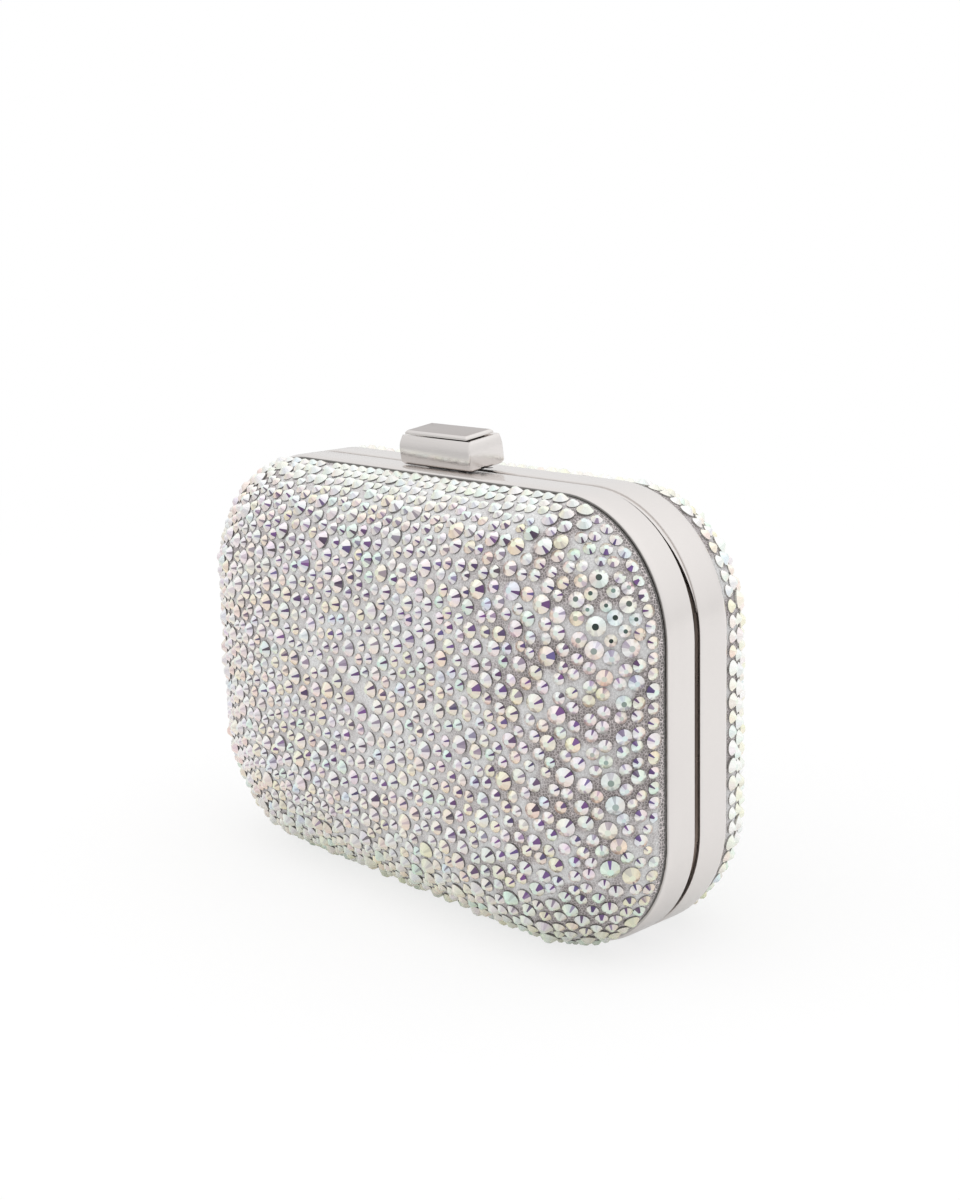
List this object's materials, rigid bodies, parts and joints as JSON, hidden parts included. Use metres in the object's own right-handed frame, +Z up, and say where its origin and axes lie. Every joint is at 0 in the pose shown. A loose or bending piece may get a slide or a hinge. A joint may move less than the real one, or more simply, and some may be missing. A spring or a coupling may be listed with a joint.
{
  "type": "crystal box clutch",
  "caption": "Hard evening box clutch: two pillow shells set with crystals in hinged metal frame bands, with a rocking clasp across the seam on top.",
  "frame": {"origin": "on the floor, under the middle of the closed clutch's box", "axes": "+X along the clutch, -Y out of the front face that the picture shows, +Z up to the clasp"},
  "size_m": [0.1704, 0.0748, 0.1255],
  "materials": {
    "polished_nickel": "polished nickel, slightly warm",
    "crystal_mesh": "light grey mesh textile set with faceted aurora crystals",
    "shell_board": "moulded shell, not seen from outside",
    "satin_lining": "dark satin lining",
    "hinge_steel": "plain nickel-plated steel"
  },
  "bodies": {
    "rear_half": {"rear_frame_band": "polished_nickel", "seam_lip": "polished_nickel", "rear_crystal_mesh": "crystal_mesh", "rear_shell_core": "shell_board", "rear_lining": "satin_lining", "rear_hinge_leaf": "hinge_steel", "hinge_pin": "hinge_steel", "clasp_bracket": "hinge_steel", "clasp_pivot_pin_left": "hinge_steel", "clasp_pivot_pin_right": "hinge_steel", "clasp_bracket_rivet_1": "hinge_steel", "clasp_bracket_rivet_2": "hinge_steel", "clasp_spring": "hinge_steel", "rear_hinge_rivet_1": "hinge_steel", "rear_hinge_rivet_2": "hinge_steel", "rear_hinge_rivet_3": "hinge_steel"},
    "front_half": {"front_frame_band": "polished_nickel", "front_crystal_mesh": "crystal_mesh", "front_shell_core": "shell_board", "front_lining": "satin_lining", "front_hinge_leaf": "hinge_steel", "front_hinge_rivet_1": "hinge_steel", "front_hinge_rivet_2": "hinge_steel", "front_hinge_rivet_3": "hinge_steel"},
    "clasp": {"clasp_block": "polished_nickel", "clasp_top_plate": "polished_nickel", "clasp_carrier": "hinge_steel", "clasp_screw_1": "hinge_steel", "clasp_screw_2": "hinge_steel"}
  },
  "joints": [
    {"name": "front_half_hinge", "type": "hinge", "parent": "rear_half", "child": "front_half", "pos_m": [0, -0.00065, 0.002], "axis": [1, 0, 0], "range_deg": [0, 85]},
    {"name": "clasp_rock", "type": "hinge", "parent": "rear_half", "child": "clasp", "pos_m": [0, 0.0012, 0.1173], "axis": [-1, 0, 0], "range_deg": [0, 12], "stiffness_Nm_per_rad": 0.05, "springref_deg": -11.46, "deforming": ["clasp_spring"]}
  ]
}
